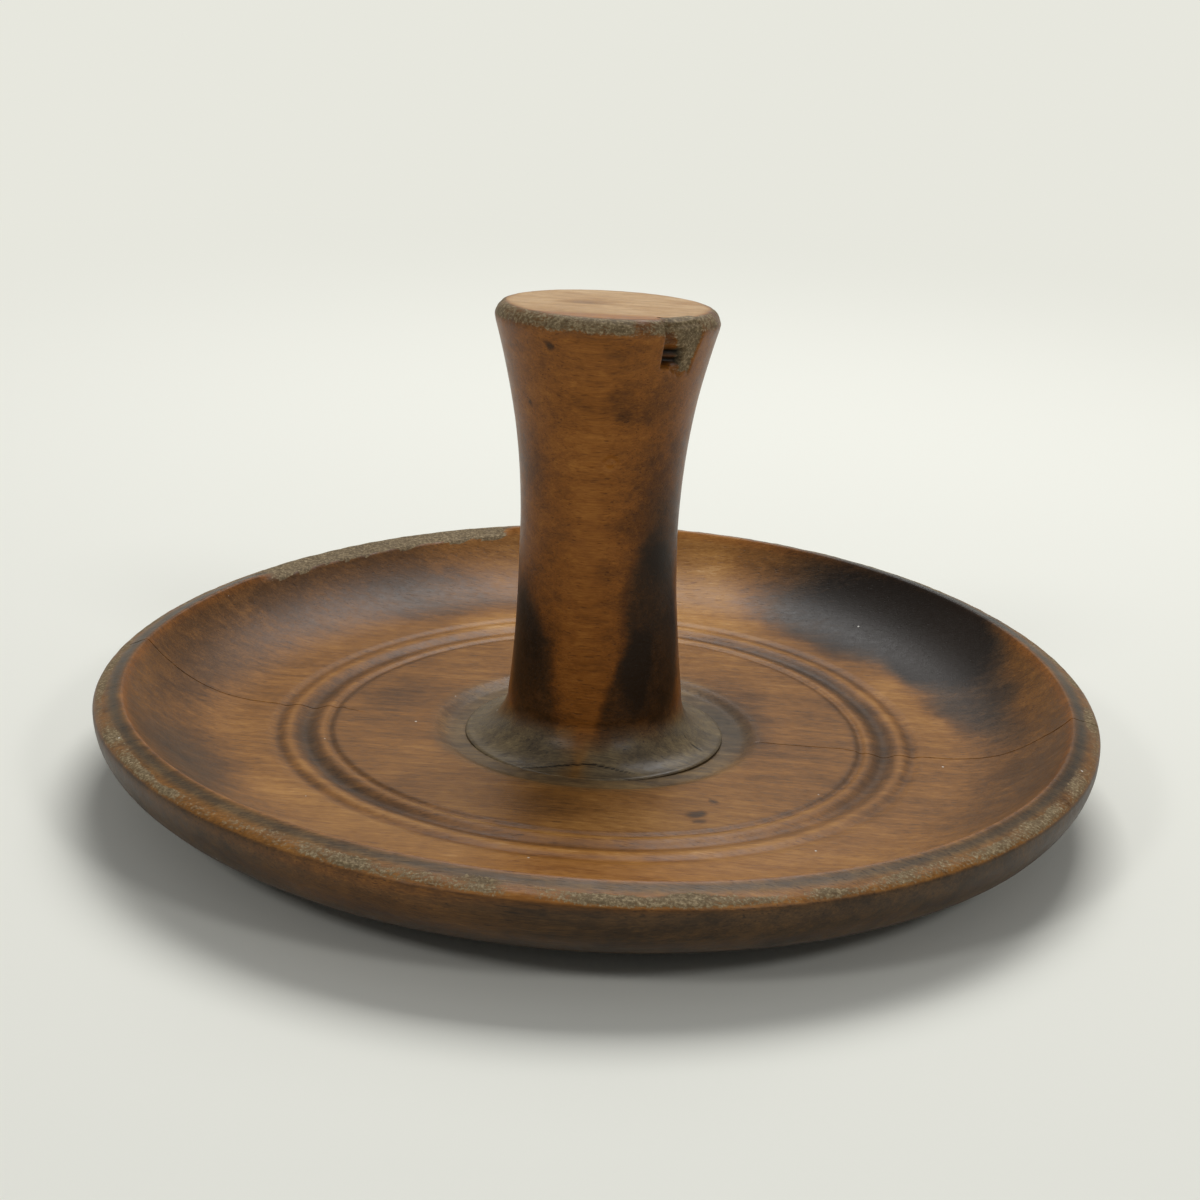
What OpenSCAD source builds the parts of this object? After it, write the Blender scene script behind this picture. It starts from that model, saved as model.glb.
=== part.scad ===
// Turned wooden butter worker: a shallow round dish with a post handle standing in its middle.
// The flat underside presses the butter, and the hand holds the handle inside the dish.
// The origin is the middle of the underside, and the turning axis is +Z. All sizes are in mm.
// The front, where the handle's top stands highest, faces -Y.

/* [Dish] */
// Widest diameter of the dish
dish_d = 210; // [190:1:240]
// Diameter of the flat underside
base_d = 148; // [110:1:160]
// Height of the widest line of the outer wall above the underside
widest_z = 19; // [16:0.5:20]
// Height of the lip's inner edge above the underside
rim_z = 22; // [21:0.5:28]
// Width of the rounded lip, from its inner edge to the widest line
lip_w = 6; // [3:0.5:8]
// Thickness of the wood between the underside and the floor of the dish
floor_t = 11; // [9:0.5:14]
// Diameter of the flat part of the floor, where the wall starts to rise
floor_d = 148; // [144:1:160]

/* [Turned rings] */
// Diameter of the middle of the main groove
ring_d = 122.8; // [112:0.2:126]
// Width of the main groove
ring_w = 6.2; // [4:0.2:7]
// Depth of the main groove
ring_depth = 0.8; // [0.4:0.1:1.2]
// Width of the fine groove inside the main one
ring_inner_w = 2.6; // [1.6:0.2:3.6]
// Depth of the fine groove inside the main one
ring_inner_depth = 0.4; // [0.2:0.1:0.7]
// Width of the shallow groove outside the main one
ring_outer_w = 4.6; // [2.4:0.2:5]
// Depth of the shallow groove outside the main one
ring_outer_depth = 0.4; // [0.2:0.1:0.8]
// Width of the flat ridge left between two grooves
ring_land = 0.6; // [0.4:0.1:1.2]

/* [Sunk seat round the handle] */
// Depth of the sunk ring round the handle's foot
seat_depth = 1.2; // [0.6:0.1:2]
// Width of the sunk ring's flat part outside the foot
seat_w = 3.5; // [1:0.5:6]
// Width of the slope from the sunk ring up to the floor
seat_slope_w = 4; // [2:0.5:6]

/* [Handle] */
// Height of the handle, from its seat to the middle of its top
handle_l = 92.3; // [80:0.5:110]
// Diameter of the handle's flared foot
foot_d = 54.6; // [48:0.2:60]
// Height of the plain edge of the foot
foot_edge = 0.6; // [0.3:0.1:1.5]
// Radius of the hollow curve between the foot and the grip
foot_cove = 9; // [6:0.5:10]
// Diameter of the grip at its waist
waist_d = 32.6; // [30:0.2:35]
// Height of the waist above the seat
waist_h = 45.2; // [36:0.2:54]
// Widest diameter of the handle's top
top_d = 45.6; // [40:0.2:52]
// Width of the worn round edge of the top
top_edge_w = 2.2; // [1:0.1:4]
// Drop from the middle of the top to the widest line of the handle
top_edge_drop = 2.8; // [1.5:0.1:5]
// Backward tilt of the top's flat face, in degrees
top_tilt = 4; // [0:0.5:6]

/* [Damage] */
// Direction of the split in the handle's top, in degrees from +X
split_az = -48; // [-70:1:-30]
// Width of the split
split_w = 8; // [5:0.5:11]
// Height of the split below the middle of the top
split_h = 11; // [7:0.5:16]
// Depth of the split below the grip's surface
split_depth = 1.4; // [0.6:0.1:2.5]
// Direction of the middle of the torn stretch of lip, in degrees from +X
tear_az = 122; // [100:1:140]
// Depth of the tear below the lip's inner edge, at that edge
tear_depth = 0.5; // [0.2:0.1:1.5]
// Outward slope of the tear, in degrees
tear_slope = 16; // [8:1:25]

/* [Hidden] */
$fn = 120;
arc_steps = 12;
ring_steps = 6;
cut_margin = 10;

dish_r = dish_d / 2;
base_r = base_d / 2;
rim_r = dish_r - lip_w;
floor_r = floor_d / 2;
seat_z = floor_t - seat_depth;
foot_r = foot_d / 2;
seat_r = foot_r + seat_w;

// Radius of the wall's inner curve, which leaves the floor level and ends at the lip's inner edge
wall_rise = rim_z - floor_t;
wall_run = rim_r - floor_r;
wall_cove = (wall_run * wall_run + wall_rise * wall_rise) / (2 * wall_rise);
wall_sweep = asin(wall_run / wall_cove);

ring_r = ring_d / 2;
ring_outer_r = ring_r + ring_w / 2 + ring_land + ring_outer_w / 2;
ring_inner_r = ring_r - ring_w / 2 - ring_land - ring_inner_w / 2;

waist_r = waist_d / 2;
waist_z = seat_z + waist_h;
cove_z = seat_z + foot_edge + foot_cove;
cove_r = foot_r - foot_cove;
top_r = top_d / 2;
top_z = seat_z + handle_l;
top_face_r = top_r - top_edge_w;
widest_top_z = top_z - top_edge_drop;
blank_top_z = top_z + top_face_r * tan(top_tilt);

// Points of an elliptical arc about c, with half-axes a and b, between two angles
function arc(c, a, b, from, to, steps) =
    [for (i = [0 : steps]) let (t = from + (to - from) * i / steps) [c[0] + a * cos(t), c[1] + b * sin(t)]];

// Radius of the circle that cuts a groove of width w and depth d
function groove_r(w, d) = (w * w / 4 + d * d) / (2 * d);

// Points of a round-bottomed groove in the floor, from its outer edge to its inner one
function groove(r, w, d) =
    let (g = groove_r(w, d), half = asin(w / 2 / g))
    arc([r, floor_t - d + g], g, g, -90 + half, -90 - half, ring_steps);

// Radius of the circle through the waist, upright there, that runs out by dr over a height dz
function bow_r(dr, dz) = (dr * dr + dz * dz) / (2 * dr);

// Points of the grip, a hollow curve that starts at height z0 and ends at z1, upright at the waist
function grip(dr, z0, z1) =
    let (g = bow_r(dr, max(abs(z0 - waist_z), abs(z1 - waist_z))),
         a0 = asin((z0 - waist_z) / g), a1 = asin((z1 - waist_z) / g))
    arc([waist_r + g, waist_z], -g, g, a0, a1, arc_steps);

// Half section of the dish, from the axis out along the underside and back in along the floor
module dish_section() {
    polygon(concat(
        [[0, 0]],
        arc([base_r, widest_z], dish_r - base_r, widest_z, -90, 0, arc_steps),
        arc([rim_r, widest_z], lip_w, rim_z - widest_z, 0, 90, arc_steps),
        arc([floor_r, floor_t + wall_cove], wall_cove, wall_cove, -90 + wall_sweep, -90, arc_steps),
        groove(ring_outer_r, ring_outer_w, ring_outer_depth),
        groove(ring_r, ring_w, ring_depth),
        groove(ring_inner_r, ring_inner_w, ring_inner_depth),
        [[seat_r + seat_slope_w, floor_t], [seat_r, seat_z], [0, seat_z]]));
}

// Half section of the handle as it was turned, with the top still square to the axis
module handle_section() {
    polygon(concat(
        [[0, seat_z], [foot_r, seat_z]],
        arc([foot_r, cove_z], foot_cove, foot_cove, -90, -180, arc_steps),
        grip(cove_r - waist_r, cove_z, waist_z),
        grip(top_r - waist_r, waist_z, widest_top_z),
        arc([top_face_r, widest_top_z], top_edge_w, blank_top_z - widest_top_z, 0, 90, arc_steps),
        [[0, blank_top_z]]));
}

// Wedge of air over the torn stretch of lip, deepest in the middle and running out at its ends
module lip_tear() {
    rotate([0, 0, tear_az])
        translate([rim_r, 0, rim_z - tear_depth])
            rotate([0, tear_slope, 0])
                translate([0, -dish_r, 0])
                    cube([lip_w * 2, dish_d, cut_margin]);
}

// Space above the handle's flat top, which leans back
module above_top() {
    translate([0, 0, top_z])
        rotate([-top_tilt, 0, 0])
            translate([-top_r - cut_margin, -top_r - cut_margin, 0])
                cube([top_d + 2 * cut_margin, top_d + 2 * cut_margin, cut_margin + top_edge_drop]);
}

// Flake that has split off the handle's top edge, following the flare of the grip
module top_split() {
    flare = atan((top_r - waist_r) * 2 / (widest_top_z - waist_z));
    rotate([0, 0, split_az])
        translate([top_r - split_depth, 0, widest_top_z])
            rotate([0, flare / 2, 0])
                translate([0, -split_w / 2, top_edge_drop - split_h])
                    cube([cut_margin, split_w, split_h + cut_margin]);
}

module dish() {
    color("saddlebrown")
        difference() {
            rotate_extrude() dish_section();
            lip_tear();
        }
}

module handle() {
    color("sienna")
        difference() {
            rotate_extrude() handle_section();
            above_top();
            top_split();
        }
}

dish();
handle();
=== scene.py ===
"""An old turned wooden butter worker: a shallow round dish with a post handle standing in its middle.

Lengths in this script are millimetres on the turning axis, with the front at -Y, and become metres in the
meshes. Angles round the axis are in degrees from +X, turning towards +Y, so the front is at 270.
"""
import math

import bpy
import numpy as np
from mathutils import Matrix, Vector


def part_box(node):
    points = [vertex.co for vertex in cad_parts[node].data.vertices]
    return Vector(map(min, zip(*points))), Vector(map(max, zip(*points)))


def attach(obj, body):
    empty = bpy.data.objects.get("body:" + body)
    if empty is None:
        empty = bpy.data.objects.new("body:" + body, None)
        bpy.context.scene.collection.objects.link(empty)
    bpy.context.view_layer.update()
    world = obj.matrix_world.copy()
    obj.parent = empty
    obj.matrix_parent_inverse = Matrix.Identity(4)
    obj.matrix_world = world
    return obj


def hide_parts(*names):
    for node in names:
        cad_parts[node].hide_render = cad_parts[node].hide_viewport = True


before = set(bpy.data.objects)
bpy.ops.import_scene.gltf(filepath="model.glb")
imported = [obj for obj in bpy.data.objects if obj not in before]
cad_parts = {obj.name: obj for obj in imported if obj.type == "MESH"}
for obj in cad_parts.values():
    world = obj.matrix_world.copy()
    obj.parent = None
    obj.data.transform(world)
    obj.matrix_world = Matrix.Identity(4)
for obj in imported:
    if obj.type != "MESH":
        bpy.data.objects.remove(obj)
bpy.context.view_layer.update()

MM = 0.001

# Camera, as the photograph was taken: a 1200 pixel square picture
IMAGE = 1200
FOCAL = 2340
SENSOR = 36.0
EYE_ELEVATION = 22.0
EYE_DISTANCE = 500.0
EYE_ROLL = 2.46
# The point of the axis at AIM_Z lies at this pixel
AIM_Z = 9.0
AIM_PIXEL = (595.2, 734.8)

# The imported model's own sizes
DISH_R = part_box("dish")[1].x / MM
SEAT_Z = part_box("handle")[0].z / MM
TOP_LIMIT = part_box("handle")[1].z / MM

# Dish, as it was turned
BASE_R = 67.0
ARRIS_Z = 20.1
RIM_R = 98.9
RIM_Z = 23.0
FLOOR_R = 74.0
FLOOR_Z = 11.0
SEAT_R = 30.8
SEAT_SLOPE = 4.0
# Middle, half width and depth of each turned ring
RINGS = [(56.4, 1.3, 0.4), (61.2, 3.1, 0.8), (67.2, 2.2, 0.4)]

# Handle, as it was turned
FOOT_R = 27.3
FOOT_EDGE = 0.45
FOOT_COVE = 9.0
WAIST_R = 16.3
WAIST_Z = 55.0
TOP_R = 22.8
TOP_EDGE = 2.4
WIDEST_TOP_Z = 99.0
TOP_Z = 102.1

# The split in the top's edge: its sides and its ridge in degrees, and the height of its bottom
SPLIT_LEFT = -59.0
SPLIT_RIGHT = -34.0
SPLIT_RIDGE = -49.0
SPLIT_BOTTOM = 91.6
# Backward and sideways lean of the top, as slopes
LEAN_BACK = 0.064
LEAN_SIDE = 0.01
# A small dent at the front, like a bead: its direction in degrees and its height
DENT_AZ = 276.0
DENT_Z = 73.6

# Direction of the grain in plan, in degrees from +X
GRAIN = -5.0

# Cracks in the dish, along the grain. Each is its line in plan, from its inner end out over the lip.
CRACK_RIGHT = [(30, -3.2), (39, -4.5), (52, -5.1), (58, -7.2), (64, -7.1), (77, -7.7), (85, -9.1), (93, -9.4),
               (99, -11.6), (106, -10.2)]
CRACK_LEFT = [(-40, 0.5), (-45, 1.8), (-51, 4.6), (-55.5, 7.0), (-64, 7.1), (-68.5, 7.5), (-78, 9.8),
              (-86, 11.2), (-93, 12.5), (-97.5, 13.0), (-102, 11.2), (-106, 10.6)]
# Half the crack's width, its depth, and where it starts and is fully open
CRACK_HALF = 0.2
CRACK_DEPTH = 1.6
RIGHT_OPENS = (33, 42)
LEFT_OPENS = (46, 80)
# The stretch of lip that has torn off, in degrees, and its depth
TORN_FROM = 103.0
TORN_TO = 147.0
TORN_DEPTH = 1.5
# Distances of the mesh's columns from a crack's edge
CRACK_STEPS = [0.12, 0.3, 0.6, 1.0, 1.6, 2.4, 3.4, 4.6]
DISH_COLUMNS = 470
HANDLE_COLUMNS = 360


def smooth(low, high, x):
    """0 at low, 1 at high, and an even curve between them. low may be the larger."""
    t = np.clip((x - low) / (high - low), 0.0, 1.0)
    return t * t * (3.0 - 2.0 * t)


def bell(x, middle, width):
    """A soft bump of height 1, which has fallen to about a third one width from its middle."""
    return np.exp(-((x - middle) / width) ** 2)


def turn(a, middle):
    """Signed angle in degrees from a direction, between -180 and 180."""
    return (a - middle + 180.0) % 360.0 - 180.0


def spot(x, y, middle, half, tilt=0.0, edge=0.5):
    """1 inside an ellipse and 0 outside it, with a soft edge that is that share of its size."""
    t = math.radians(tilt)
    u = ((x - middle[0]) * math.cos(t) + (y - middle[1]) * math.sin(t)) / half[0]
    v = ((y - middle[1]) * math.cos(t) - (x - middle[0]) * math.sin(t)) / half[1]
    return smooth(1.0 + edge, 1.0 - edge, np.hypot(u, v))


def grit(points, size, seed):
    """Smooth noise from -1 to 1 at points, with lumps of about that size. size may be one for each axis."""
    p = points / np.asarray(size, float) + 1000.0
    cell = np.floor(p).astype(np.int64)
    f = p - cell
    f = f * f * (3.0 - 2.0 * f)
    total = np.zeros(p.shape[:-1])
    for corner in range(8):
        step = np.array([corner & 1, corner >> 1 & 1, corner >> 2 & 1])
        c = cell + step
        h = (c[..., 0] * 73856093) ^ (c[..., 1] * 19349663) ^ (c[..., 2] * 83492791) ^ (seed * 2654435761)
        h = (h ^ (h >> 13)) * 1274126177 & 0x7FFFFFFF
        h = (h ^ (h >> 16)) & 0xFFFF
        total += np.prod(np.where(step, f, 1.0 - f), -1) * (h / 32767.5 - 1.0)
    return total


# Camera

def place_camera():
    """The camera looks at the axis from the front, rolled a little, with the aim point at its pixel."""
    e, roll = math.radians(EYE_ELEVATION), math.radians(EYE_ROLL)
    ahead = Vector((0.0, math.cos(e), -math.sin(e)))
    right = Vector((1.0, 0.0, 0.0))
    up = right.cross(ahead)
    rolled_right = math.cos(roll) * right + math.sin(roll) * up
    rolled_up = -math.sin(roll) * right + math.cos(roll) * up
    look = Matrix((rolled_right, rolled_up, -ahead)).transposed()
    half = IMAGE / 2
    ray = Vector(((AIM_PIXEL[0] - half) / FOCAL, (half - AIM_PIXEL[1]) / FOCAL, -1.0)).normalized()
    off_axis = ray.rotation_difference(Vector((0.0, 0.0, -1.0))).to_matrix()
    data = bpy.data.cameras.new("camera")
    data.sensor_width = SENSOR
    data.lens = FOCAL * SENSOR / IMAGE
    data.clip_start = 0.01
    camera = bpy.data.objects.new("camera", data)
    bpy.context.scene.collection.objects.link(camera)
    camera.matrix_world = (look @ off_axis).to_4x4()
    camera.location = Vector((0.0, -math.cos(e) * EYE_DISTANCE, math.sin(e) * EYE_DISTANCE + AIM_Z)) * MM
    bpy.context.scene.camera = camera


# Turned solids

def turned_mesh(name, places):
    """A closed mesh through rows of points round the axis. The first and last rows are single points."""
    rows, columns = places.shape[:2]
    points = np.vstack([places[0, :1], places[1:-1].reshape(-1, 3), places[-1, :1]])
    last = len(points) - 1
    faces = []
    for c in range(columns):
        d = (c + 1) % columns
        faces.append((0, 1 + d, 1 + c))
        for r in range(rows - 3):
            low, high = 1 + r * columns, 1 + (r + 1) * columns
            faces.append((low + c, low + d, high + d, high + c))
        low = 1 + (rows - 3) * columns
        faces.append((low + c, low + d, last))
    mesh = bpy.data.meshes.new(name)
    mesh.from_pydata((points * MM).tolist(), [], faces)
    mesh.shade_smooth()
    mesh.update()
    piece = bpy.data.objects.new(name, mesh)
    bpy.context.scene.collection.objects.link(piece)
    return piece


def paint(piece, **layers):
    """Gives the mesh named values at each point, from arrays with the rows and columns that made it."""
    for name, values in layers.items():
        flat = np.concatenate([values[0, :1], values[1:-1].ravel(), values[-1, :1]])
        layer = piece.data.attributes.new(name, "FLOAT", "POINT")
        layer.data.foreach_set("value", flat.astype(np.float32))


def spaced(start, stop, step):
    """Even steps from start up to and not including stop, each about step long."""
    count = max(1, round(abs(stop - start) / step))
    return list(np.linspace(start, stop, count, endpoint=False))


# Dish

def crack_angle(line, r):
    """Direction of a crack at distance r from the axis, in degrees."""
    line = np.array(line, float)
    far = np.hypot(line[:, 0], line[:, 1])
    angle = np.unwrap(np.arctan2(line[:, 1], line[:, 0]))
    return np.degrees(np.interp(r, far, angle))


def dish_columns(r):
    """Directions of the mesh's columns at distance r: even, but crowded along the two cracks."""
    arm = np.maximum(r, 30.0)
    offsets = [CRACK_HALF * 0.4] + [CRACK_HALF + s for s in [0.0] + CRACK_STEPS]
    offsets = np.array([-s for s in reversed(offsets)] + offsets)
    near = np.degrees(offsets / arm)
    right, left = crack_angle(CRACK_RIGHT, r), crack_angle(CRACK_LEFT, r)
    fill = (DISH_COLUMNS - 2 * len(offsets)) // 2
    back = np.linspace(right + near[-1], left + near[0], fill + 2)[1:-1]
    front = np.linspace(left + near[-1], right + near[0] + 360.0, fill + 2)[1:-1]
    return np.concatenate([right + near, back, left + near, front])


def cove_height(r):
    """Height of the wall's inner curve, which leaves the floor level and ends at the lip."""
    rise, run = RIM_Z - FLOOR_Z, RIM_R - FLOOR_R
    cove = (run ** 2 + rise ** 2) / (2 * rise)
    return FLOOR_Z + cove - np.sqrt(cove ** 2 - np.clip(r - FLOOR_R, 0.0, run) ** 2)


def dish_profile():
    """Half section of the dish from the middle of its underside, out and over the lip, to the seat's middle.

    The second value is the row of the lip's outer arris, where the outer wall ends.
    """
    profile = [(r, 0.0) for r in spaced(0, 60, 3) + spaced(60, BASE_R, 1.5)]
    for t in np.linspace(-90, 0, 32):
        c, s = math.cos(math.radians(t)), math.sin(math.radians(t))
        profile.append((BASE_R + (DISH_R - 0.15 - BASE_R) * c, ARRIS_Z * (1 + s)))
    arris = len(profile)
    # The lip: a worn round arris, a bevel that slopes in, and a sharper arris at its inner edge
    profile += [(DISH_R - 0.25, 20.45), (DISH_R - 0.5, 20.85), (DISH_R - 0.85, 21.2), (DISH_R - 1.3, 21.5)]
    profile += [(r, RIM_Z - (r - 99.3) * 0.34) for r in spaced(103.4, 99.3, 0.35)]
    profile += [(99.15, RIM_Z + 0.02), (98.9, RIM_Z - 0.06), (98.65, RIM_Z - 0.28)]
    profile += [(r, float(cove_height(r))) for r in spaced(98.3, 95, 0.4) + spaced(95, FLOOR_R, 0.65)]
    profile += [(r, FLOOR_Z) for r in spaced(FLOOR_R, 70.6, 0.6) + spaced(70.6, 54, 0.4)]
    profile += [(r, FLOOR_Z) for r in spaced(54, SEAT_R + SEAT_SLOPE, 0.75)]
    for r in spaced(SEAT_R + SEAT_SLOPE, SEAT_R, 0.5):
        profile.append((r, SEAT_Z + float(smooth(SEAT_R, SEAT_R + SEAT_SLOPE, r)) * (FLOOR_Z - SEAT_Z)))
    profile += [(r, SEAT_Z) for r in spaced(SEAT_R, 26, 0.5) + spaced(26, 0, 6.5)] + [(0.0, SEAT_Z)]
    return np.array(profile), arris


def warp(r, a):
    """How far the dish has cupped and lifted out of true with age."""
    t = np.radians(a)
    w = r / DISH_R
    cup = w * (0.96 * np.sin(2 * t) - 1.24 * np.cos(2 * t))
    lift = w ** 4 * (1.7 * np.sin(t) + 0.2 * np.cos(2 * t) - 0.17 * np.sin(3 * t) + 0.23 * np.cos(3 * t))
    return cup + lift


def crack_reach(r, a, z, top):
    """How open the cracks are: 1 in a crack's bottom, falling to 0 at its edges."""
    reach = np.zeros_like(r)
    for line, opens in ((CRACK_RIGHT, RIGHT_OPENS), (CRACK_LEFT, LEFT_OPENS)):
        away = np.abs(np.radians(turn(a, crack_angle(line, r)))) * np.maximum(r, 30.0)
        low = np.where(top, 0.0, ARRIS_Z - 6.0)
        here = smooth(opens[0], opens[1], r) * smooth(low, low + 3.0, z)
        reach = np.maximum(reach, here * smooth(CRACK_HALF, CRACK_HALF * 0.5, away))
    return reach


def make_dish():
    profile, arris = dish_profile()
    r = np.repeat(profile[:, :1], DISH_COLUMNS, 1)
    z = np.repeat(profile[:, 1:], DISH_COLUMNS, 1)
    a = np.array([dish_columns(far) for far in profile[:, 0]])
    top = np.repeat(np.arange(len(profile))[:, None] > arris, DISH_COLUMNS, 1)
    t = np.radians(a)
    flat = np.stack([r * np.cos(t), r * np.sin(t), z], -1)
    # Turned rings in the floor
    for middle, half, depth in RINGS:
        z = z - depth * np.where(top, smooth(half, 0.0, np.abs(r - middle)), 0.0)
    # The stretch of lip that has torn off at the back left, nearly level and rough
    torn = smooth(TORN_FROM, TORN_FROM + 3.0, a % 360) * smooth(TORN_TO, TORN_TO - 9.0, a % 360)
    torn_z = RIM_Z - TORN_DEPTH + (r - 98.0) * 0.1
    torn_z = torn_z + 0.25 * grit(flat, (3.0, 1.2, 9.0), 5) + 0.2 * grit(flat, 1.0, 6)
    z = np.where(top & (r > 95.0), z - torn * np.maximum(z - torn_z, 0.0), z)
    crack = crack_reach(r, a, z, top)
    z = z - CRACK_DEPTH * crack * top
    z = z + warp(r, a) * np.clip(z / FLOOR_Z, 0.0, 1.0)
    # The lip's crest is rough, and the wall has the faint flats of hand work
    lip = bell(r, 103.3, 1.6) * top
    z = z + lip * 0.12 * grit(flat, (1.6, 1.6, 4.0), 7)
    wide = r * (1.0 + 0.0025 * smooth(60.0, 105.0, r) * np.cos(t)) + 0.12 * grit(flat, 14.0, 8) * ~top
    wide = np.minimum(wide, DISH_R - 0.05)
    inward = np.where(top, 0.0, crack * 0.9)
    places = np.stack([(wide - inward) * np.cos(t), (wide - inward) * np.sin(t), np.maximum(z, 0.0)], -1)
    piece = turned_mesh("dish_worn", places)
    paint_dish(piece, flat, r, a, z, top, crack, torn)
    return piece


# Lightness of the dish where nothing stains it, of its outer wall, and the wall's rubbed stretch in degrees
DISH_LIGHT = 0.62
OUTER_LIGHT = 0.24
RUBBED_AZ = 248.0
RUBBED_HALF = 14.0
# Stains on the top of the dish: middle in plan, half sizes, tilt in degrees, change of lightness, soft edge
DISH_STAINS = [
    ((62, 62), (13, 34), 42, -0.52, 0.5),
    ((80, 30), (9, 30), 12, -0.36, 0.5),
    ((72, 58), (12, 24), 35, -0.2, 0.6),
    ((68, 28), (6, 22), 10, 0.12, 0.6),
    ((38, 84), (16, 8), -20, 0.12, 0.7),
    ((24, 66), (14, 8), 0, 0.14, 0.8),
    ((-34, 74), (18, 9), 12, -0.22, 0.8),
    ((-60, 72), (24, 12), 40, -0.14, 0.8),
    ((-24, 64), (10, 7), 10, 0.2, 0.8),
    ((-84, 28), (12, 30), -15, -0.12, 0.8),
    ((-80, -34), (9, 20), 22, -0.22, 0.7),
    ((-62, -36), (9, 12), 25, 0.1, 0.9),
    ((-46, -52), (18, 6), -35, 0.08, 0.9),
    ((86, -28), (12, 26), -20, -0.12, 0.8),
    ((52, -4), (18, 44), 0, -0.09, 0.8),
    ((-50, 0), (18, 44), 0, -0.09, 0.8),
    ((4, -62), (46, 16), 0, 0.10, 0.8),
    ((10, 84), (40, 10), 0, 0.10, 0.8),
    ((30, 12), (7, 16), 10, -0.16, 0.9),
    ((-40, -12), (10, 16), 0, 0.05, 0.9),
    ((-40, 14), (9, 9), 0, -0.1, 0.9),
    ((-8, -45), (10, 7), 0, -0.14, 0.9),
    ((19, -43.5), (2.2, 1.2), 0, -0.35, 0.5),
    ((25, -37), (1.3, 0.8), 0, -0.35, 0.5),
    ((20, -46.5), (1.2, 0.9), 0, -0.3, 0.5),
]


def paint_dish(piece, flat, r, a, z, top, crack, torn):
    """Lightness, warmth, greyness, bareness and cracks of the dish's surface, with painted highlights and
    shade in the turned rings and a painted line of bounced light under the lip.
    """
    x, y = flat[..., 0], flat[..., 1]
    sway = np.stack([grit(flat, 9.0, 11), grit(flat, 9.0, 12)], -1) * 2.4
    sway += np.stack([grit(flat, 2.5, 13), grit(flat, 2.5, 14)], -1) * 0.8
    sx, sy = x + sway[..., 0], y + sway[..., 1]
    light = DISH_LIGHT + 0 * r
    for middle, half, tilt, change, edge in DISH_STAINS:
        light = light + change * spot(sx, sy, middle, half, tilt, edge)
    # Ends of the grain are darker on the walls to the left and right
    light -= 0.12 * smooth(76.0, 90.0, r) * np.abs(np.cos(np.radians(a))) ** 1.5
    light -= 0.16 * smooth(38.0, 29.0, r + sway[..., 0])
    # The turned rings are darker, more so towards 32 and 212 degrees, with a narrow line of painted shade
    # along the inner side of the first ring
    ring = r + 0.12 * sway[..., 1]
    ring_darkness = 0.5 + 0.5 * np.cos(np.radians(2 * (a - 32.0)))
    light -= (0.10 + 0.20 * ring_darkness) * bell(ring, 61.0, 2.4) + 0.16 * bell(ring, 55.6, 0.8)
    # Painted highlights along the outer edges of the first two rings
    light += 0.10 * bell(ring, 57.6, 0.7) + 0.10 * bell(ring, 64.6, 0.7)
    light -= (0.05 + 0.12 * ring_darkness) * bell(ring, 66.8, 1.1)
    grey = 0.7 * smooth(37.0, 29.0, r + 0.6 * sway[..., 1]) + 0.25 * smooth(0.45, 0.2, light)
    warm = 0.35 + 0.3 * bell(a % 360, 270.0, 25.0) * smooth(50.0, 70.0, r) + 0.5 * bell(r, 98.6, 0.9)
    # The lip: rubbed inner arris, grey bevel, bare crest
    light += top * (0.08 * bell(r, 98.6, 0.8) - 0.2 * bell(r, 100.6, 1.2))
    grey += top * 0.7 * bell(r, 100.8, 1.2)
    bare = top * smooth(101.4, 102.6, r + 0.5 * sway[..., 1]) * smooth(DISH_R + 0.3, DISH_R - 1.0, r)
    bare = bare * (0.55 + 0.35 * grit(flat, 6.0, 15))
    scar = torn * top * smooth(-0.1, 0.1, r - 97.2 + 0.8 * grit(flat, (4.0, 1.5, 9.0), 16))
    bare = np.maximum(bare, scar)
    # The outer wall is dark and smooth, warmer at the front left, with a warm painted line of light bounced
    # from the floor just under the lip
    rubbed = bell(turn(a, RUBBED_AZ), 0.0, RUBBED_HALF)
    # Painted light: a thin warm line, as of light bounced from the floor onto the underside of the lip
    line = bell(z, ARRIS_Z - 0.6, 0.9)
    outer = OUTER_LIGHT + 0.05 * grit(flat, (30.0, 6.0, 3.0), 17)
    outer = outer + 0.14 * rubbed * smooth(8.0, 17.0, z)
    outer = outer + 0.10 * line
    light = np.where(top, light, outer)
    warm = np.where(top, warm, 0.2 + 0.5 * rubbed + 0.5 * line)
    grey = np.where(top, grey, 0.2)
    bare = np.where(top, bare, 0.0)
    paint(piece, light=light, warm=warm, grey=np.clip(grey, 0, 1), bare=bare, crack=crack)


# Handle

def bow(z, end_z, end_r):
    """Radius of the grip's hollow curve, upright at the waist, that reaches end_r at end_z."""
    rise, out = end_z - WAIST_Z, end_r - WAIST_R
    g = (rise ** 2 + out ** 2) / (2 * out)
    return WAIST_R + g - math.sqrt(g ** 2 - (z - WAIST_Z) ** 2)


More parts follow.
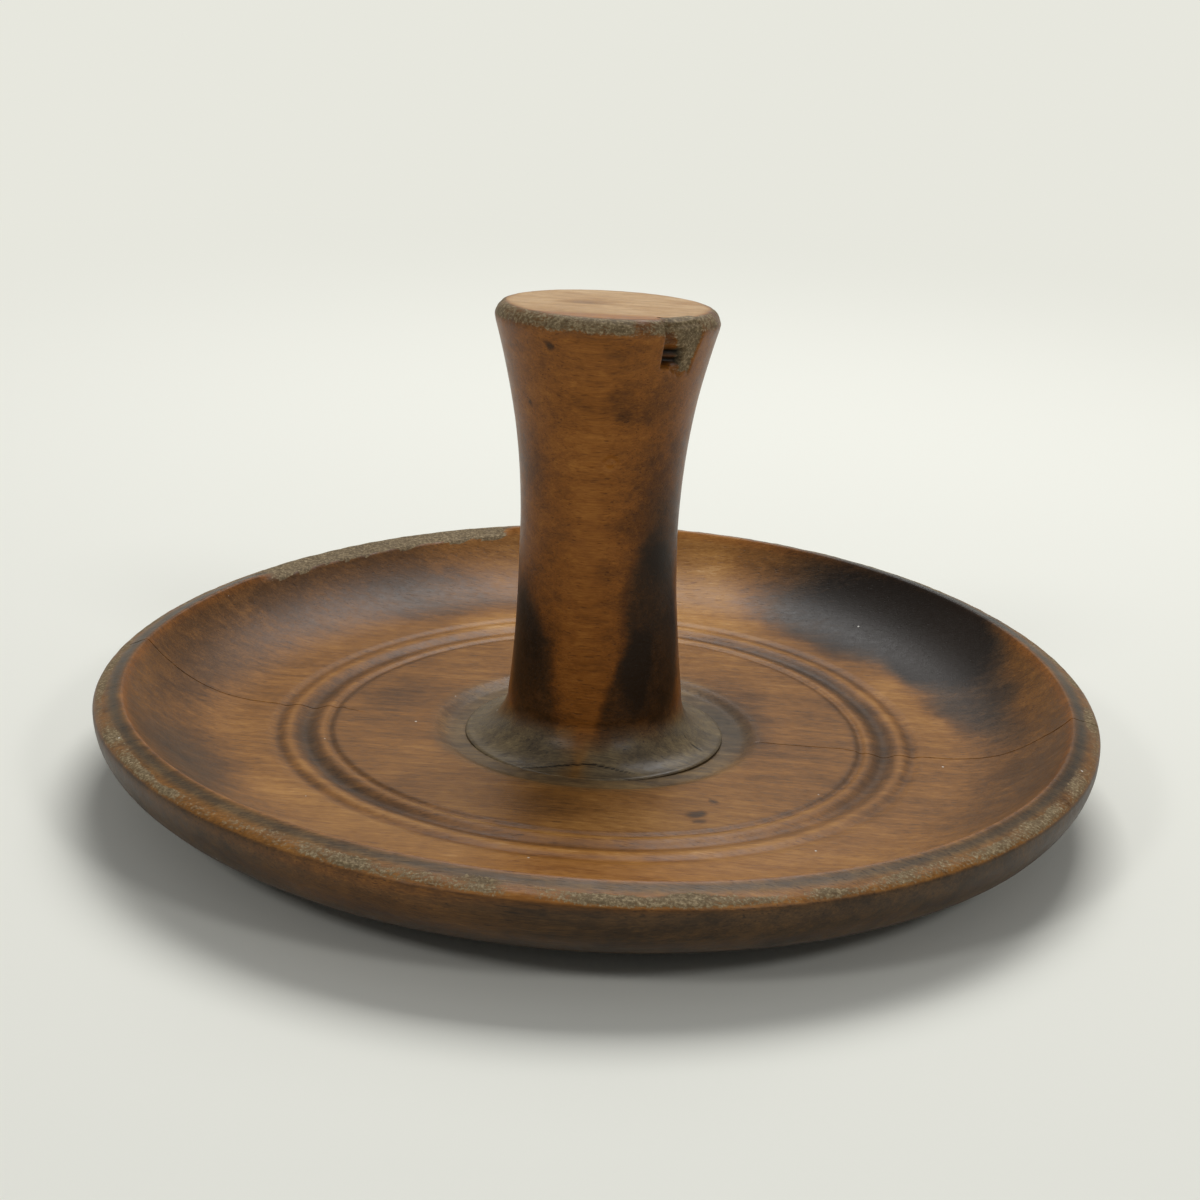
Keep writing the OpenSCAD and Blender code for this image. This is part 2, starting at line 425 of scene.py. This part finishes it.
def handle_profile():
    """Half section of the handle from the middle of its foot, up the grip, to the middle of its top."""
    cove_z, cove_r = SEAT_Z + FOOT_EDGE + FOOT_COVE, FOOT_R - FOOT_COVE
    profile = [(r, SEAT_Z) for r in spaced(0, FOOT_R, 4.0)]
    profile += [(FOOT_R, SEAT_Z), (FOOT_R - 0.05, SEAT_Z + 0.25)]
    for t in np.linspace(4, 90, 38):
        c, s = math.cos(math.radians(t)), math.sin(math.radians(t))
        profile.append((FOOT_R - FOOT_COVE * s, cove_z - FOOT_COVE * c))
    profile += [(bow(z, cove_z, cove_r), z) for z in spaced(cove_z + 0.5, WAIST_Z, 0.5)]
    profile += [(bow(z, WIDEST_TOP_Z, TOP_R), z) for z in spaced(WAIST_Z, WIDEST_TOP_Z, 0.45)]
    for t in np.linspace(0, 90, 18):
        c, s = math.cos(math.radians(t)), math.sin(math.radians(t))
        profile.append((TOP_R - TOP_EDGE + TOP_EDGE * c, WIDEST_TOP_Z + (TOP_Z - WIDEST_TOP_Z) * s))
    profile += [(r, TOP_Z) for r in spaced(TOP_R - TOP_EDGE - 0.4, 0, 0.45)] + [(0.0, TOP_Z)]
    return np.array(profile)


def split_depth(a, z, r, flat):
    """How far the surface is torn away at the split in the handle's top, and the pale part of the tear."""
    left = SPLIT_LEFT + 0.5 * grit(flat, 1.5, 31)
    right = SPLIT_RIGHT - 4.0 * smooth(99.0, 92.0, z)
    side = turn(a, 0.0)
    bottom = SPLIT_BOTTOM + 1.6 * smooth(-45.0, -59.0, side) + 0.5 * grit(flat, 1.0, 32)
    inside = smooth(left - 0.6, left + 0.6, side) * smooth(right + 1.0, right - 1.0, side)
    inside = inside * smooth(bottom - 0.3, bottom + 0.5, z) * smooth(TOP_R - 4.2, TOP_R - 2.8, r)
    ridge = SPLIT_RIDGE - (z - 96.0)
    deep = 1.6 * smooth(ridge + 3.0, left, side) + 0.5 + 0.18 * np.sin(z * 5.5 + 3.0 * grit(flat, 3.0, 33))
    hole = smooth(-60.0, -58.5, side) * smooth(-44.0, -46.0, side)
    hole = hole * smooth(93.2, 93.8, z) * smooth(96.6, 95.9, z)
    splinter = bell(z, 94.9, 0.35) * smooth(-57.0, -55.0, side)
    hole = hole * (1.0 - 0.7 * splinter)
    pale = inside * smooth(ridge - 1.0, ridge + 1.0, side)
    return inside * deep + hole * 1.8, inside, pale, hole


def make_handle():
    profile = handle_profile()
    r = np.repeat(profile[:, :1], HANDLE_COLUMNS, 1)
    z = np.repeat(profile[:, 1:], HANDLE_COLUMNS, 1)
    a = np.arange(HANDLE_COLUMNS) * 360.0 / HANDLE_COLUMNS + 0 * r
    t = np.radians(a)
    flat = np.stack([r * np.cos(t), r * np.sin(t), z], -1)
    deep, inside, pale, hole = split_depth(a, z, r, flat)
    # The worn band round the top is rough, and the whole grip is a little uneven
    rim = smooth(WIDEST_TOP_Z - 1.0, WIDEST_TOP_Z + 1.0, z)
    rim = rim * smooth(TOP_R - TOP_EDGE - 1.2, TOP_R - TOP_EDGE, r)
    rough = 0.10 * grit(flat, 0.9, 34) + 0.14 * grit(flat, 2.2, 35)
    worn = rim * (0.15 + rough) + 0.05 * grit(flat, 7.0, 36)
    # The bead-like dent is a small mound with a ring sunk round it
    dent = np.hypot(np.radians(turn(a, DENT_AZ)) * WAIST_R, z - DENT_Z)
    worn = worn - 0.28 * bell(dent, 0.0, 0.55) + 0.22 * bell(dent, 1.05, 0.3)
    wide = np.where(r > 4.0, r - (deep + worn) * smooth(4.0, 12.0, r), r)
    x, y = wide * np.cos(t), wide * np.sin(t)
    # The top leans back, and the grip stands a little to the left
    high = smooth(86.0, TOP_Z - 2.0, z)
    z = z - high * (y * LEAN_BACK + x * LEAN_SIDE)
    lean = 0.5 + 0.55 * smooth(20.0, 55.0, z)
    x = x - lean * smooth(SEAT_Z, SEAT_Z + 3.0, z) - 0.3 * smooth(SEAT_Z + 3.0, SEAT_Z, z)
    # A crack across the front of the foot, and a short one at its right
    line = foot_crack(x, y)
    gap = smooth(0.22, 0.08, np.abs(line[0])) * line[1] * smooth(SEAT_Z + 6.0, SEAT_Z + 3.0, z)
    z = z - 0.12 * gap * (z > SEAT_Z + 0.1)
    places = np.stack([x, y, np.clip(z, SEAT_Z, TOP_LIMIT - 0.05)], -1)
    piece = turned_mesh("handle_worn", places)
    paint_handle(piece, flat, r, a, z, inside, pale, hole, rim, gap)
    return piece


def foot_crack(x, y):
    """Distance across the grain from the foot's two cracks, and how far along each is open."""
    front = y + 22.6 + 0.14 * np.maximum(x, 0.0)
    front_open = smooth(-25.5, -22.0, x) * smooth(9.5, 7.5, x) * (y < 0)
    short = (y + 9.5) + 0.55 * (x - 21.0)
    short_open = smooth(18.0, 19.0, x) * smooth(24.5, 23.0, x)
    near = np.where(np.abs(front) * (2 - front_open) < np.abs(short) * (2 - short_open), front, short)
    return near, np.where(near == front, front_open, short_open)


# Lightness of the handle where nothing stains it
HANDLE_LIGHT = 0.56
# Stains on the handle's side: middle in degrees and height, half sizes, tilt, change of lightness, soft edge
HANDLE_STAINS = [
    ((318, 36), (29, 21), 0, -0.42, 0.25),
    ((290, 22), (24, 9), 30, -0.30, 0.3),
    ((325, 58), (34, 8), 0, -0.22, 0.6),
    ((216, 28), (29, 13), -18, -0.36, 0.3),
    ((205, 36), (30, 10), 0, -0.16, 0.6),
    ((318, 70), (22, 8), 0, -0.14, 0.8),
    ((214, 72), (16, 6), 0, -0.10, 0.8),
    ((258, 50), (14, 30), 0, 0.06, 0.8),
    ((262, 76), (20, 14), 0, 0.06, 0.9),
    ((281, 87), (9, 3.5), 0, -0.10, 0.7),
    ((300, 84), (16, 3), 0, -0.10, 0.8),
    ((262, 84), (22, 1.0), 0, -0.08, 0.8),
    ((240, 98), (2.2, 0.7), 0, -0.35, 0.6),
    ((221, 84), (1.6, 0.6), 0, -0.3, 0.6),
    ((276, 95), (6, 5), 0, -0.06, 0.8),
]


def paint_handle(piece, flat, r, a, z, inside, pale, hole, rim, gap):
    """Lightness, warmth, greyness, bareness and cracks of the handle's surface, with a painted reflection on
    its top face.
    """
    x, y = flat[..., 0], flat[..., 1]
    sa = a + 3.0 * grit(flat, 5.0, 41) + 1.6 * grit(flat, 1.5, 42)
    sz = z + 1.6 * grit(flat, 5.0, 43) + 0.5 * grit(flat, 1.5, 44)
    light = HANDLE_LIGHT + 0 * r
    for middle, half, tilt, change, edge in HANDLE_STAINS:
        light = light + change * spot(turn(sa, middle[0]), sz, (0.0, middle[1]), half, tilt, edge)
    # The unseen back has the same two dark ends of grain
    back = smooth(10.0, 40.0, turn(a, 0.0)) * smooth(170.0, 140.0, turn(a, 0.0))
    light -= 0.2 * back * smooth(60.0, 40.0, sz) * (1.0 - bell(turn(sa, 92.0), 0.0, 26.0))
    foot = smooth(19.0, 13.5, sz)
    stripe = bell(turn(sa, 263.0), 0.0, 7.0)
    light = light * (1 - foot) + foot * (0.44 + 0.1 * stripe)
    grey = foot * (0.8 - 0.7 * stripe) + 0.2 * smooth(0.4, 0.2, light)
    warm = 0.85 - 0.8 * foot + 0 * r
    # The top face is pale tan, partly the wood's own colour and partly a painted reflection of light from
    # above and behind, with a darker spot just left of its middle and a darker, warmer strip along its front
    # edge
    face = smooth(TOP_Z - 0.8, TOP_Z - 0.3, flat[..., 2]) * smooth(21.2, 20.0, r)
    light = light * (1 - face) + face * (0.86 - 0.2 * spot(x, y, (-5, 1), (4.5, 2.2), 0, 0.8))
    front = face * smooth(-13.0, -17.0, y)
    light -= 0.2 * front
    warm = warm * (1 - face) + face * (0.25 + 0.7 * front)
    grey = grey * (1 - face)
    patches = 0.5 + 0.5 * grit(flat, 3.5, 45)
    bare = rim * (0.35 + 0.5 * patches) * (1.0 - 0.9 * face)
    light -= 0.15 * rim * (1.0 - patches)
    bare = np.maximum(bare, pale * 0.95)
    bare = np.maximum(bare, inside * 0.35)
    light = light - 0.1 * inside * (1 - pale)
    crack = np.maximum(hole, gap)
    paint(piece, light=light, warm=warm, grey=np.clip(grey, 0, 1), bare=bare, crack=crack)


# Finishes

class Finish:
    """A material and its nodes. A node's inputs are given as values, or as the sockets that feed them."""

    def __init__(self, name):
        self.material = bpy.data.materials.new(name)
        self.material.use_nodes = True
        self.tree = self.material.node_tree
        self.shader = self.tree.nodes["Principled BSDF"]

    def feed(self, socket, value):
        if isinstance(value, bpy.types.NodeSocket):
            self.tree.links.new(value, socket)
        else:
            socket.default_value = value

    def node(self, kind, inputs, **settings):
        made = self.tree.nodes.new(kind)
        for name, value in settings.items():
            setattr(made, name, value)
        for key, value in inputs.items():
            self.feed(made.inputs[key], value)
        return made

    def layer(self, name):
        return self.node("ShaderNodeAttribute", {}, attribute_name=name).outputs["Fac"]

    def maths(self, operation, *values, clamp=False):
        made = self.node("ShaderNodeMath", dict(enumerate(values)), operation=operation, use_clamp=clamp)
        return made.outputs["Value"]

    def stretch(self, coords, scale, angle=0.0):
        """Coordinates scaled from metres to cells along and across the grain."""
        turned = self.node("ShaderNodeMapping", {"Vector": coords, "Rotation": (0, 0, math.radians(-angle))},
                           vector_type="POINT").outputs["Vector"]
        return self.node("ShaderNodeMapping", {"Vector": turned, "Scale": [s / MM for s in scale]},
                         vector_type="POINT").outputs["Vector"]

    def noise(self, coords, scale, detail=2.0, roughness=0.5, distortion=0.0):
        """Noise about 0, from about -0.5 to 0.5, with that many cells to a millimetre on each axis."""
        made = self.node("ShaderNodeTexNoise", {
            "Vector": self.stretch(coords, scale, GRAIN), "Scale": 1.0, "Detail": detail,
            "Roughness": roughness, "Distortion": distortion})
        return self.maths("SUBTRACT", made.outputs["Fac"], 0.5)

    def step(self, value, low, high):
        """0 at low and 1 at high, or the other way round where low is the larger."""
        made = self.node("ShaderNodeMapRange", {"Value": value, "From Min": low, "From Max": high},
                         interpolation_type="SMOOTHSTEP")
        return made.outputs["Result"]

    def mix(self, share, a, b, blend="MIX"):
        made = self.node("ShaderNodeMix", {}, data_type="RGBA", blend_type=blend)
        self.feed(made.inputs[0], share)
        self.feed(made.inputs[6], a)
        self.feed(made.inputs[7], b)
        return made.outputs[2]

    def ramp(self, value, stops):
        made = self.node("ShaderNodeValToRGB", {"Fac": value})
        points = made.color_ramp.elements
        while len(points) < len(stops):
            points.new(0.5)
        for point, (place, colour) in zip(points, stops):
            point.position = place
            point.color = (*colour, 1.0)
        return made.outputs["Color"]


# Lightness of the old wood from soot to fresh wood
WOOD = [(0.0, (0.015, 0.009, 0.004)), (0.2, (0.044, 0.023, 0.008)), (0.4, (0.108, 0.052, 0.015)),
        (0.6, (0.235, 0.112, 0.027)), (0.8, (0.380, 0.205, 0.058)), (1.0, (0.620, 0.450, 0.250))]
# Strength of the oil's gloss, which is weak on old dry wood
SPECULAR = 0.22
WARM = (1.18, 0.86, 0.50, 1.0)
GREY = (0.96, 1.65, 3.70, 1.0)
BARE = [(0.0, (0.045, 0.032, 0.018)), (0.45, (0.150, 0.105, 0.052)), (0.75, (0.330, 0.250, 0.140)),
        (1.0, (0.560, 0.470, 0.320))]


def wood(name, gloss):
    """Old oiled hardwood with level grain, painted by the mesh's layers."""
    f = Finish(name)
    here = f.node("ShaderNodeTexCoord", {}).outputs["Object"]
    streaks = f.noise(here, (0.035, 0.42, 0.42), 3.0, 0.6, 0.4)
    fibres = f.noise(here, (0.16, 2.2, 2.2), 3.0, 0.6, 0.6)
    fine = f.noise(here, (0.5, 6.0, 6.0), 2.0, 0.6)
    blotch = f.noise(here, (0.09, 0.12, 0.12), 3.0, 0.6)
    mottle = f.noise(here, (0.45, 0.6, 0.6), 3.0, 0.65)
    pores = f.step(f.noise(here, (0.30, 3.4, 3.4), 1.0, 0.5), 0.13, 0.24)
    light = f.layer("light")
    for part, amount in ((streaks, 0.30), (fibres, 0.34), (fine, 0.26), (blotch, 0.26), (mottle, 0.22),
                         (pores, -0.16)):
        light = f.maths("MULTIPLY_ADD", part, amount, light)
    colour = f.ramp(light, WOOD)
    colour = f.mix(f.layer("warm"), colour, f.mix(1.0, colour, WARM, "MULTIPLY"))
    colour = f.mix(f.layer("grey"), colour, f.mix(1.0, colour, GREY, "MULTIPLY"))
    grains = f.noise(here, (1.5, 1.7, 1.7), 3.0, 0.75)
    bare_light = f.maths("MULTIPLY_ADD", grains, 1.5, f.maths("MULTIPLY_ADD", fibres, 0.6, 0.5))
    bare = f.step(f.maths("MULTIPLY_ADD", grains, 0.9, f.layer("bare")), 0.35, 0.65)
    colour = f.mix(bare, colour, f.ramp(bare_light, BARE))
    colour = f.mix(f.layer("crack"), colour, (0.004, 0.003, 0.002, 1.0))
    # Specks of dust
    cells = f.node("ShaderNodeTexVoronoi", {"Vector": f.stretch(here, (0.11, 0.11, 0.11)), "Scale": 1.0})
    speck = f.maths("MULTIPLY", f.step(cells.outputs["Distance"], 0.032, 0.018),
                    f.step(f.node("ShaderNodeSeparateColor", {"Color": cells.outputs["Color"]}).outputs[0],
                           0.45, 0.5))
    colour = f.mix(speck, colour, (0.62, 0.60, 0.54, 1.0))
    f.feed(f.shader.inputs["Base Color"], colour)
    f.feed(f.shader.inputs["Specular IOR Level"], SPECULAR)
    rough = f.maths("MULTIPLY_ADD", mottle, 0.25, gloss)
    rough = f.maths("MULTIPLY_ADD", bare, 0.28, rough)
    rough = f.maths("MULTIPLY_ADD", fibres, 0.14, rough, clamp=True)
    f.feed(f.shader.inputs["Roughness"], rough)
    relief = f.maths("MULTIPLY_ADD", fibres, 0.5, f.maths("MULTIPLY", mottle, 0.5))
    relief = f.maths("MULTIPLY_ADD", pores, -0.25, relief)
    relief = f.maths("MULTIPLY_ADD", f.maths("MULTIPLY", grains, bare), 1.6, relief)
    bump = f.node("ShaderNodeBump", {"Height": relief, "Strength": 0.5, "Distance": 0.12 * MM})
    f.feed(f.shader.inputs["Normal"], bump.outputs["Normal"])
    return f.material


# Studio

FLOOR_COLOUR = (0.84, 0.84, 0.765, 1.0)
# The floor far from the object, as the camera sees it, and the distances in mm where that starts and is full
BACKDROP = (0.80, 0.80, 0.73, 1.0)
BACKDROP_FROM = (260.0, 700.0)
# Radius of the flat floor in mm, and the sweep that rises all round it
FLOOR_FLAT = 3000.0
SWEEP_RUN = 3000.0
SWEEP_RISE = 1500.0
FLOOR_COLUMNS = 96


def pale_floor():
    """Matt and pale where the object's shadow falls, and an even pale backdrop further off."""
    f = Finish("floor")
    f.shader.inputs["Base Color"].default_value = FLOOR_COLOUR
    f.shader.inputs["Roughness"].default_value = 0.9
    here = f.node("ShaderNodeTexCoord", {}).outputs["Object"]
    away = f.node("ShaderNodeVectorMath", {0: here}, operation="LENGTH").outputs["Value"]
    path = f.node("ShaderNodeLightPath", {}).outputs
    seen = f.maths("MAXIMUM", path["Is Glossy Ray"], path["Is Transmission Ray"])
    seen = f.maths("MAXIMUM", seen, path["Is Camera Ray"])
    far = f.maths("MULTIPLY", seen, f.step(away, BACKDROP_FROM[0] * MM, BACKDROP_FROM[1] * MM))
    glow = f.node("ShaderNodeEmission", {"Color": BACKDROP, "Strength": 1.0}).outputs["Emission"]
    both = f.node("ShaderNodeMixShader", {0: far, 1: f.shader.outputs["BSDF"], 2: glow}).outputs["Shader"]
    f.feed(f.tree.nodes["Material Output"].inputs["Surface"], both)
    return f.material


def make_floor():
    """A plain pale floor that sweeps up far off, all round, so that it fills every view."""
    rows = [FLOOR_FLAT] + [FLOOR_FLAT + SWEEP_RUN * t for t in np.linspace(0.1, 1.0, 10)]
    turns = np.linspace(0.0, 2.0 * math.pi, FLOOR_COLUMNS, endpoint=False)
    points = [(r * math.cos(t), r * math.sin(t), SWEEP_RISE * ((r - FLOOR_FLAT) / SWEEP_RUN) ** 2)
              for r in rows for t in turns]
    faces = [tuple(range(FLOOR_COLUMNS))]
    for low in range(0, len(points) - FLOOR_COLUMNS, FLOOR_COLUMNS):
        for c in range(FLOOR_COLUMNS):
            d = (c + 1) % FLOOR_COLUMNS
            faces.append((low + c, low + FLOOR_COLUMNS + c, low + FLOOR_COLUMNS + d, low + d))
    mesh = bpy.data.meshes.new("floor")
    mesh.from_pydata([Vector(p) * MM for p in points], [], faces)
    floor = bpy.data.objects.new("floor", mesh)
    bpy.context.scene.collection.objects.link(floor)
    floor.data.materials.append(pale_floor())


def soft_lamp(name, azimuth, elevation, distance, size, power):
    """A square area lamp that faces the object from a direction, in mm, degrees and watts."""
    a, e = math.radians(azimuth), math.radians(elevation)
    away = Vector((math.cos(a) * math.cos(e), math.sin(a) * math.cos(e), math.sin(e)))
    data = bpy.data.lights.new(name, "AREA")
    data.shape = "SQUARE"
    data.size = size * MM
    data.energy = power
    lamp = bpy.data.objects.new(name, data)
    bpy.context.scene.collection.objects.link(lamp)
    lamp.location = away * distance * MM
    lamp.rotation_euler = away.to_track_quat("Z", "Y").to_euler()


def light_studio():
    world = bpy.data.worlds.new("world")
    bpy.context.scene.world = world
    world.use_nodes = True
    world.node_tree.nodes["Background"].inputs["Color"].default_value = (0.95, 0.97, 1.0, 1.0)
    world.node_tree.nodes["Background"].inputs["Strength"].default_value = 0.2
    soft_lamp("lamp_over", 80.0, 60.0, 1200.0, 700.0, 11.0)
    soft_lamp("lamp_left", -132.0, 38.0, 1200.0, 180.0, 1.8)
    soft_lamp("lamp_right", -48.0, 38.0, 1200.0, 180.0, 1.8)
    bpy.context.scene.view_settings.view_transform = "Standard"


place_camera()
pieces = ((make_dish(), "dish", 0.42), (make_handle(), "handle", 0.36))
for piece, node, gloss in pieces:
    piece.data.materials.append(wood(node + "_wood", gloss))
    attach(piece, "root")
    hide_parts(node)
make_floor()
light_studio()
